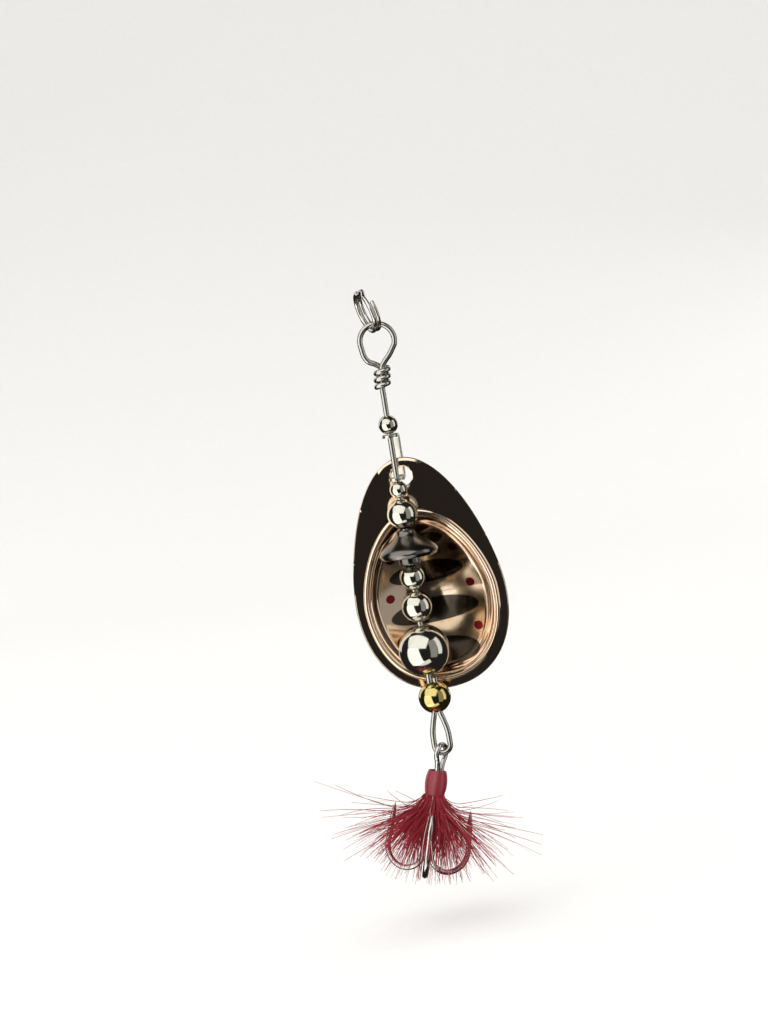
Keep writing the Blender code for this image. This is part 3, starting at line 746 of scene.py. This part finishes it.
# From the edge inwards: how far in from the sides, how far in from the top, and the depth.
def bladeProfile():
    spec = bladeSpec
    rim, rimTop = spec["rim"], spec["rimTop"]
    # the second outline only shows which way is inwards at the edge
    profile = [(0, 0, 0), (spec["edgeStart"], spec["edgeStart"], 0)]
    for step in range(1, 9):
        t = step / 8
        profile.append((rim * t, rimTop * t, 0))
    for step in range(1, 11):
        t = step / 10
        inward = spec["ridgeWidth"] * t
        profile.append((rim + inward, rimTop + inward,
                        -spec["ridgeHeight"] * math.sin(math.pi * t) ** 2))
    slopeEnd = 2 * (spec["basinDepth"] - spec["wallDepth"])
    slopeEnd *= spec["wall"] / (spec["halfWidth"] - rim - spec["ridgeWidth"] - spec["wall"])
    for step in range(1, 13):
        t = step / 12
        deep = spec["wallDepth"] * (3 * t * t - 2 * t ** 3) + slopeEnd * (t ** 3 - t * t)
        profile.append((rim + spec["ridgeWidth"] + spec["wall"] * t,
                        rimTop + spec["ridgeWidth"] + spec["wallTop"] * t, deep))
    return profile


def bladeMesh():
    spec = bladeSpec
    around = 240
    outlines = []
    for margin, top, depth in bladeProfile():
        outlines.append((top, spec["length"] - margin, spec["widest"], spec["halfWidth"] - margin,
                         depth))
    top, bottom, widest, halfWidth, footDepth = outlines[-1]
    for step in range(1, 24):
        shrink = 1 - step / 24
        outlines.append((widest + (top - widest) * shrink, widest + (bottom - widest) * shrink,
                         widest, halfWidth * shrink,
                         spec["basinDepth"] - (spec["basinDepth"] - footDepth) * shrink ** 2))
    # the egg's own half turn starts at its top, and more of its points sit near the tight top
    middle = []
    for top, bottom, widest, halfWidth, depth in outlines:
        row = []
        for step in range(around):
            side, down = eggPoint(2 * math.pi * step / around, top, bottom, widest, halfWidth)
            row.append(Vector((side, depth, spec["holeEdge"] - down)))
        middle.append(row)
    half = spec["metal"] / 2
    front, back = [], []
    for r, row in enumerate(middle):
        frontRow, backRow = [], []
        outer, inner = middle[max(r - 1, 0)], middle[min(r + 1, len(middle) - 1)]
        for s, point in enumerate(row):
            across = row[(s + 1) % around] - row[s - 1]
            inward = inner[s] - outer[s]
            normal = across.cross(inward).normalized()
            if normal.y > 0:
                normal = -normal
            frontRow.append(point + normal * half)
            backRow.append(point - normal * half)
        front.append(frontRow)
        back.append(backRow)
    # the edge is rounded over between the two faces
    edge = spec["edge"]
    frontEdge, backEdge = [], []
    for s in range(around):
        inward = (middle[2][s] - middle[0][s]).normalized() * edge
        front[0][s] = front[0][s] + inward
        back[0][s] = back[0][s] + inward
        frontEdge.append(middle[0][s] + Vector((0, -half + edge, 0)))
        backEdge.append(middle[0][s] + Vector((0, half - edge, 0)))
    front.pop(1)
    back.pop(1)
    rows = front[::-1] + [frontEdge, backEdge] + back
    centerFront = Vector((0, spec["basinDepth"] - half, spec["holeEdge"] - spec["widest"]))
    centerBack = Vector((0, spec["basinDepth"] + half, spec["holeEdge"] - spec["widest"]))
    mesh, rowOfFace = loft("bladeDraft", rows, centerFront, centerBack)
    frontRows = len(front)
    for polygon, row in zip(mesh.polygons, rowOfFace):
        polygon.material_index = 0 if row < frontRows else 1
    smoothShade(mesh, 60)
    draft = bpy.data.objects.new("bladeDraft", mesh)
    bpy.context.scene.collection.objects.link(draft)
    punch = roundCutter(spec["hole"] / 2, spec["metal"] * 8,
                        placeAt((0, 0, -spec["hole"] / 2), (90, "X")))
    cut = draft.modifiers.new("punch", "BOOLEAN")
    cut.operation = "DIFFERENCE"
    cut.object = punch
    rounding = draft.modifiers.new("edge", "BEVEL")
    rounding.width = spec["punchEdge"] * mm
    rounding.segments = 2
    rounding.limit_method = "ANGLE"
    rounding.angle_limit = math.radians(60)
    for finish in copper:
        mesh.materials.append(finish)
    mesh = bakeModifiers(draft, punch)
    sides = [polygon.material_index for polygon in mesh.polygons]
    mesh.materials.clear()
    mesh.polygons.foreach_set("material_index", sides)
    smoothShade(mesh, 50)
    return mesh


copper = [copperPlate(True), copperPlate(False)]
bladePlace = Matrix.Translation(Vector(jointsByName["blade_swing"]["pos_m"]))
bladePlace @= Matrix.Rotation(math.radians(bladeSpec["yaw"]), 4, "Z")
bladePlace @= Matrix.Rotation(math.radians(bladeSpec["tilt"]), 4, "X")
bladePlace @= Matrix.Rotation(math.radians(bladeSpec["roll"]), 4, "Y")
addPiece("blade", bladeMesh(), copper, "blade", "blade", bladePlace)
print("blade done")

# Treble hook: a double hook whose wire makes the eye, and a single hook brazed beside it
hookSpec = {
    "wire": 0.75, "eye": 3.2, "shank": 13.2, "gape": 5.8, "point": 5.6, "taper": 2.4,
    "lean": 16, "yaw": 58, "linkGap": 0.36, "headings": (-30, 210, 90), "barbFromTip": 1.9,
    "barbLength": 0.95, "barbOut": 0.34,
    "eyeDraw": 0.035,  # off the wire's radius round the eye
    "shankTop": 3.1, "pointLean": 0.07, "eyeOpen": 50,
}
hookWire = hookSpec["wire"]
hookEyeRadius = (hookSpec["eye"] - hookWire) / 2
shankRadius = (hookWire + shaftSpec["seatGap"]) / math.sqrt(3)
hookDrop = loopRadius - wire / 2 - hookSpec["linkGap"] - hookWire / 2
hookPlace = Matrix.Translation((loopCenter - Vector((0, 0, hookDrop))) * mm)
hookPlace @= Matrix.Rotation(math.radians(hookSpec["lean"]), 4, "Y")
hookPlace @= Matrix.Rotation(math.radians(hookSpec["yaw"]), 4, "Z")
hookPlace @= Matrix.Translation((0, shankRadius / 2 * mm, 0))


def hookLeg(heading):
    spec = hookSpec
    bend = spec["gape"] / 2
    bendZ = -hookEyeRadius - spec["shank"]
    topZ = -hookEyeRadius * spec["shankTop"]
    flat = [(shankRadius, topZ + (bendZ - topZ) * step / 20) for step in range(21)]
    for step in range(1, 49):
        angle = math.pi + math.pi * step / 48
        flat.append((shankRadius + bend + bend * math.cos(angle), bendZ + bend * math.sin(angle)))
    start = flat[-1][0]
    tip = start - spec["point"] * spec["pointLean"]
    for step in range(1, 33):
        share = step / 32
        flat.append((start + (tip - start) * share, bendZ + spec["point"] * share))
    turn = math.radians(heading)
    return [Vector((r * math.cos(turn), r * math.sin(turn), z)) for r, z in flat]


# The wire's radius down one leg: full to the taper, then a needle point.
def legRadii(points):
    spec = hookSpec
    radii = []
    left = 0.0
    for index in range(len(points) - 1, -1, -1):
        if index < len(points) - 1:
            left += (points[index + 1] - points[index]).length
        share = min(left / spec["taper"], 1.0)
        radii.append(hookWire / 2 * (0.04 + 0.96 * math.sin(math.pi / 2 * share) ** 0.8))
    return radii[::-1]


# The barb is a sliver cut up from the point's inner side.
def barbRows(heading):
    spec = hookSpec
    turn = math.radians(heading)
    outward = Vector((math.cos(turn), math.sin(turn), 0))
    across = Vector((-math.sin(turn), math.cos(turn), 0))
    leg = hookLeg(heading)
    tip = leg[-1]
    down = (leg[-20] - tip).normalized()
    root = tip + down * spec["barbFromTip"]
    rows = []
    for step in range(9):
        t = step / 8
        base = root + down * spec["barbLength"] * t - outward * hookWire * 0.28
        peak = base - outward * (0.02 + spec["barbOut"] * t)
        width = 0.16 * (1 - t) + 0.03
        thick = 0.10 * (1 - t) + 0.02
        rows.append([base + across * width, peak + across * width * 0.6 - down * thick,
                     peak - across * width * 0.6 - down * thick, base - across * width,
                     base - across * width + down * thick * (1 - t) * 0.4,
                     base + across * width + down * thick * (1 - t) * 0.4])
    return rows


def joinMeshes(name, meshes):
    bm = bmesh.new()
    for mesh in meshes:
        bm.from_mesh(mesh)
        bpy.data.meshes.remove(mesh)
    joined = bpy.data.meshes.new(name)
    bm.to_mesh(joined)
    bm.free()
    smoothShade(joined)
    return joined


first, second, third = [hookLeg(heading) for heading in hookSpec["headings"]]
eyeRing = arcLine(Vector((0, 0, -hookEyeRadius)), hookEyeRadius,
                  math.radians(-hookSpec["eyeOpen"]), math.radians(180 + hookSpec["eyeOpen"]), 72)
eyeRing = [point + Vector((0, first[0].y, 0)) for point in eyeRing]
joinSteps = 10
joinIn = [first[0].lerp(eyeRing[0], step / joinSteps) for step in range(1, joinSteps)]
joinOut = [eyeRing[-1].lerp(second[0], step / joinSteps) for step in range(1, joinSteps)]
doublePath = first[::-1] + joinIn + eyeRing + joinOut + second
# the wire's corners beside the eye are eased, as bent wire is
for _ in range(12):
    eased = [(before + 2 * point + after) / 4
             for before, point, after in zip(doublePath, doublePath[1:], doublePath[2:])]
    for center in (len(first) + joinSteps, len(doublePath) - len(second) - joinSteps):
        for index in range(center - 2 * joinSteps, center + 2 * joinSteps):
            doublePath[index] = eased[index - 1]
middleCount = len(doublePath) - len(first) - len(second)
# thinner than the hook's wire round the eye, only so that it clears the loop when swung back
eyeRadii = [hookWire / 2 - hookSpec["eyeDraw"] * min(1, step / 8, (middleCount - 1 - step) / 8)
            for step in range(middleCount)]
doubleRadii = legRadii(first)[::-1] + eyeRadii + legRadii(second)
tinned = finishes["tinnedHookWire"]
doubleMesh = wireMesh("doubleWire", doublePath, hookWire, 20, doubleRadii, 0)
doubleBarbs = [loft("barb", barbRows(heading))[0] for heading in hookSpec["headings"][:2]]
addPiece("doubleHook", joinMeshes("doubleHook", [doubleMesh, *doubleBarbs]), tinned,
         "treble_hook", "double_hook", hookPlace)
singleMesh = wireMesh("singleWire", third, hookWire, 20, legRadii(third), 0)
singleBarb = loft("barb", barbRows(hookSpec["headings"][2]))[0]
addPiece("singleHook", joinMeshes("singleHook", [singleMesh, singleBarb]), tinned,
         "treble_hook", "single_hook", hookPlace)
print("treble hook done")

# Whipping: one thread wound side by side down the shanks, under lacquer
whippingSpec = {"top": 2.35, "length": 3.4, "outer": 3.0, "thread": 0.17}


def whippingMesh():
    spec = whippingSpec
    bore = shankRadius + hookWire / 2 + shaftSpec["seatGap"]
    outer = spec["outer"] / 2
    rounds = round(spec["length"] / spec["thread"])
    perRound, steps = 8, 64
    rows = []
    for index in range(rounds * perRound + 1):
        t = index / (rounds * perRound)
        crown = math.sin(math.pi * (0.08 + 0.84 * t)) ** 0.5
        row = []
        for step in range(steps):
            angle = 2 * math.pi * step / steps
            phase = (t * rounds - step / steps) % 1.0
            ridge = math.sqrt(max(1 - (2 * phase - 1) ** 2, 0)) - 1
            radius = bore + (outer - bore) * crown + ridge * spec["thread"] * 0.35
            radius = max(radius, bore + 0.02)
            row.append(Vector((radius * math.cos(angle), radius * math.sin(angle),
                               -spec["length"] * t)))
        rows.append(row)
    insideTop = [Vector((bore * p.x / p.xy.length, bore * p.y / p.xy.length, p.z))
                 for p in rows[0]]
    insideEnd = [Vector((bore * p.x / p.xy.length, bore * p.y / p.xy.length, p.z))
                 for p in rows[-1]]
    mesh, _ = loft("threadWhipping", [*rows, insideEnd, insideTop], ringed=True)
    smoothShade(mesh, 70)
    return mesh


whippingPlace = hookPlace @ Matrix.Translation((0, 0, (-hookEyeRadius - whippingSpec["top"]) * mm))
addPiece("threadWhipping", whippingMesh(), lacqueredThread(), "treble_hook", "thread_whipping",
         whippingPlace)
print("whipping done")

# Hair: strands tied in under the whipping, in three tufts between the bends
tuftSpec = {
    "seed": 7, "strands": 300, "thick": 0.10, "rootRadius": 1.15, "length": (6.5, 12.5),
    "spread": (6, 66), "strayShare": 0.10, "strayLength": (9, 17), "straySpread": (55, 100),
    "paleShare": 0.025, "room": 9.0, "hangsBelow": 5.0,
}
hairLow = cadBounds[0] / mm - Vector((tuftSpec["room"], tuftSpec["room"], tuftSpec["hangsBelow"]))
hairHigh = cadBounds[1] / mm + Vector((tuftSpec["room"], tuftSpec["room"], 0))


# One strand, bent over from its root. A strand that would leave the dressing's room is cut shorter.
def strandPoints(rng, heading, steps, toWorld):
    spec = tuftSpec
    stray = rng.random() < spec["strayShare"]
    length = rng.uniform(*spec["strayLength" if stray else "length"])
    spread = math.radians(rng.uniform(*spec["straySpread" if stray else "spread"]))
    turn = math.radians(heading + rng.gauss(0, 30))
    bend = math.radians(rng.gauss(-8, 14))
    twist = math.radians(rng.gauss(0, 14))
    rootAngle = turn + rng.gauss(0, 0.25)
    root = rng.uniform(0.75, 1.0) * spec["rootRadius"]
    start = Vector((root * math.cos(rootAngle), root * math.sin(rootAngle), rng.uniform(0, 0.5)))
    while True:
        points = [start]
        for step in range(steps):
            t = (step + 0.5) / steps
            lean = spread * min(1, 0.35 + 1.6 * t) + bend * t
            way = turn + twist * t
            direction = Vector((math.sin(lean) * math.cos(way), math.sin(lean) * math.sin(way),
                                -math.cos(lean)))
            points.append(points[-1] + direction * (length / steps))
        tip = toWorld @ points[-1]
        if all(low < value < high for low, value, high in zip(hairLow, tip, hairHigh)):
            return points
        length *= 0.9


def tuftMesh(name, heading, seed):
    spec = tuftSpec
    toWorld = Matrix.Scale(1 / mm, 4) @ tuftPlace @ Matrix.Scale(mm, 4)
    rng = random.Random(seed)
    verts, faces, tones = [], [], []
    sides, steps = 5, 9
    for _ in range(spec["strands"]):
        points = strandPoints(rng, heading, steps, toWorld)
        thick = spec["thick"] / 2 * rng.uniform(0.75, 1.15)
        radii = [thick * (1 - 0.55 * (step / steps) ** 2) for step in range(steps + 1)]
        tone = 1.5 if rng.random() < spec["paleShare"] else rng.uniform(0, 0.75)
        start = len(verts)
        rows = ringsAlong(points, radii, sides)
        for index, row in enumerate(rows):
            verts += row
            tones += [tone if tone > 1 else tone + 0.25 * index / steps] * sides
        for r in range(len(rows) - 1):
            for s in range(sides):
                t = (s + 1) % sides
                faces.append((start + r * sides + s, start + r * sides + t,
                              start + (r + 1) * sides + t, start + (r + 1) * sides + s))
        faces.append(tuple(start + s for s in range(sides))[::-1])
        faces.append(tuple(start + steps * sides + s for s in range(sides)))
    mesh = bpy.data.meshes.new(name)
    mesh.from_pydata([point * mm for point in verts], [], faces)
    values = mesh.attributes.new("tone", "FLOAT", "POINT")
    values.data.foreach_set("value", tones)
    mesh.shade_smooth()
    return mesh


hairFinish = dyedHair()
tuftTop = -hookEyeRadius - whippingSpec["top"] - whippingSpec["length"]
tuftPlace = hookPlace @ Matrix.Translation((0, 0, tuftTop * mm))
for number, heading in enumerate(hookSpec["headings"], start=1):
    mesh = tuftMesh(f"hairTuft{number}", heading + 60, tuftSpec["seed"] + number)
    mesh.transform(tuftPlace)
    addPiece(f"hairTuft{number}", mesh, hairFinish, "treble_hook", f"hair_tuft_{number}")
print("hair done")

# Studio: pale paper sweep, soft boxes and a dark surround for the metal to reflect
studioSpec = {
    "sweepWidth": 4400, "sweepFront": -2200, "sweepBack": 1100, "sweepRise": 1900,
    "sweepBend": 600, "belowHook": 6.0, "worldPale": 0.72, "worldDark": 0.018,
}
# soft boxes: direction from the object (azimuth right of the camera, elevation), distance,
# width, height, brightness
softBoxes = {
    "keyTopLeft": (-33, 45, 600, 1150, 720, 1.25),
    "leftPanel": (-53, -20, 600, 720, 850, 1.5),
    "rightFill": (44, 4, 600, 380, 900, 0.30),
    "rightStrip": (76, 10, 600, 250, 700, 1.0),
    "lowStrip": (-20, -56, 600, 700, 210, 1.0),
    "rearLeft": (-140, 25, 700, 420, 700, 0.9),
    "rearRight": (150, 20, 700, 420, 700, 0.8),
    "backdropGlow": (180, 62, 1150, 2600, 900, 0.55),
}


def paperSweep():
    spec = studioSpec
    floorZ = cadBounds[0].z / mm - spec["belowHook"]
    bend = spec["sweepBend"]
    outline = [(spec["sweepFront"], floorZ), (0, floorZ), (spec["sweepBack"] - bend, floorZ)]
    for step in range(1, 25):
        angle = math.pi / 2 * step / 24
        outline.append((spec["sweepBack"] - bend + bend * math.sin(angle),
                        floorZ + bend - bend * math.cos(angle)))
    outline.append((spec["sweepBack"], floorZ + spec["sweepRise"]))
    half = spec["sweepWidth"] / 2
    verts = [Vector((side * half, y, z)) * mm for y, z in outline for side in (-1, 1)]
    faces = [(2 * r, 2 * r + 1, 2 * r + 3, 2 * r + 2) for r in range(len(outline) - 1)]
    mesh = bpy.data.meshes.new("paperSweep")
    mesh.from_pydata(verts, [], faces)
    mesh.shade_smooth()
    sweep = bpy.data.objects.new("paperSweep", mesh)
    mesh.materials.append(studioPaper())
    bpy.context.scene.collection.objects.link(sweep)
    sweep.visible_glossy = False


def directionTo(azimuth, elevation):
    a, e = math.radians(azimuth), math.radians(elevation)
    return Vector((math.sin(a) * math.cos(e), -math.cos(a) * math.cos(e), math.sin(e)))


def addSoftBoxes():
    target = Vector((0, 0, -36 * mm))
    for name, (azimuth, elevation, distance, width, height, bright) in softBoxes.items():
        light = bpy.data.lights.new(name, "AREA")
        light.shape = "RECTANGLE"
        light.size, light.size_y = width * mm, height * mm
        light.energy = bright * math.pi * light.size * light.size_y
        box = bpy.data.objects.new(name, light)
        bpy.context.scene.collection.objects.link(box)
        away = directionTo(azimuth, elevation)
        box.location = target + away * distance * mm
        box.rotation_mode = "QUATERNION"
        box.rotation_quaternion = away.to_track_quat("Z", "Y")
        box.visible_camera = False
        box.visible_glossy = name != "backdropGlow"


def addWorld():
    spec = studioSpec
    world = bpy.data.worlds.new("studio")
    bpy.context.scene.world = world
    world.use_nodes = True
    tree = world.node_tree
    tree.nodes.clear()
    path = addNode(tree, "ShaderNodeLightPath")
    seen = addNode(tree, "ShaderNodeMath", {
        0: path.outputs["Is Camera Ray"], 1: path.outputs["Is Diffuse Ray"]}, operation="MAXIMUM")
    glow = addNode(tree, "ShaderNodeMapRange", {
        "Value": seen.outputs["Value"], "To Min": spec["worldDark"], "To Max": spec["worldPale"]})
    surround = addNode(tree, "ShaderNodeBackground", {
        "Color": (1.0, 1.0, 1.0, 1.0), "Strength": glow.outputs["Result"]})
    addNode(tree, "ShaderNodeOutputWorld", {"Surface": surround.outputs["Background"]})


cameraSpec = {"distance": 600, "viewHeight": 136.5, "lookAt": (-2.39, 0, -24.6), "elevation": 4.5,
              "roll": 9.1, "sensor": 36}


def addCamera():
    spec = cameraSpec
    data = bpy.data.cameras.new("camera")
    data.sensor_width = spec["sensor"]
    data.lens = spec["sensor"] * spec["distance"] / spec["viewHeight"]
    data.clip_start, data.clip_end = 0.01, 20
    camera = bpy.data.objects.new("camera", data)
    bpy.context.scene.collection.objects.link(camera)
    back = directionTo(0, spec["elevation"])
    upright = (Vector((0, 0, 1)) - back * back.z).normalized()
    roll = math.radians(spec["roll"])
    right = Vector((1, 0, 0)) * math.cos(roll) - upright * math.sin(roll)
    up = Vector((1, 0, 0)) * math.sin(roll) + upright * math.cos(roll)
    turn = Matrix((right, up, back)).transposed().to_4x4()
    camera.matrix_world = Matrix.Translation(
        Vector(spec["lookAt"]) * mm + back * spec["distance"] * mm) @ turn
    bpy.context.scene.camera = camera


paperSweep()
addSoftBoxes()
addWorld()
addCamera()
bpy.context.scene.view_settings.view_transform = "Standard"
print("studio done")
